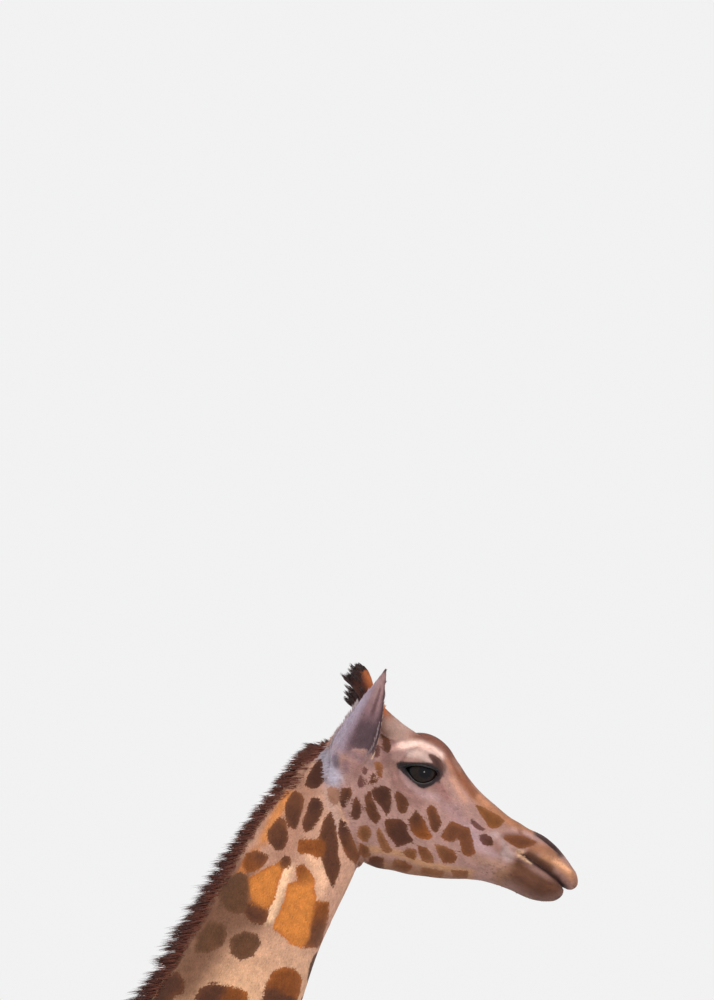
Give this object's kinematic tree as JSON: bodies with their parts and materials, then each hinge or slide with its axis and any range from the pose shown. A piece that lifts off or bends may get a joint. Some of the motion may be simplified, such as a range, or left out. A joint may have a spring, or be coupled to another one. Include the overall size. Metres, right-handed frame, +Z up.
{
  "type": "standing giraffe model",
  "caption": "Life-size standing model of a young giraffe with patched coat, ridge mane, tufted ossicones, raised ears and cloven hooves, head turned straight ahead.",
  "frame": {"origin": "on the floor, at the middle of the animal's length and width", "axes": "+X the way the animal faces, +Y to its left, +Z up"},
  "size_m": [2.1938, 0.4714, 3.0804],
  "materials": {
    "hide": "short flat hair, brown and orange patches on a pale cream net",
    "hair": "coarse dark brown to black hair",
    "hoof": "dark horn, dull",
    "eye": "dark brown, wet gloss"
  },
  "bodies": {
    "root": {"head": "hide", "lower_jaw": "hide", "neck_upper": "hide", "neck_lower": "hide", "trunk": "hide", "tail": "hide", "foreleg_left_upper": "hide", "foreleg_left_lower": "hide", "foreleg_right_upper": "hide", "foreleg_right_lower": "hide", "hindleg_left_upper": "hide", "hindleg_left_lower": "hide", "hindleg_right_upper": "hide", "hindleg_right_lower": "hide", "ear_left": "hide", "ossicone_left": "hide", "ear_right": "hide", "ossicone_right": "hide", "tail_tuft": "hair", "mane": "hair", "eye_left": "eye", "eye_right": "eye", "foreleg_left_hoof_outer": "hoof", "foreleg_left_hoof_inner": "hoof", "foreleg_right_hoof_outer": "hoof", "foreleg_right_hoof_inner": "hoof", "hindleg_left_hoof_outer": "hoof", "hindleg_left_hoof_inner": "hoof", "hindleg_right_hoof_outer": "hoof", "hindleg_right_hoof_inner": "hoof"}
  },
  "joints": []
}
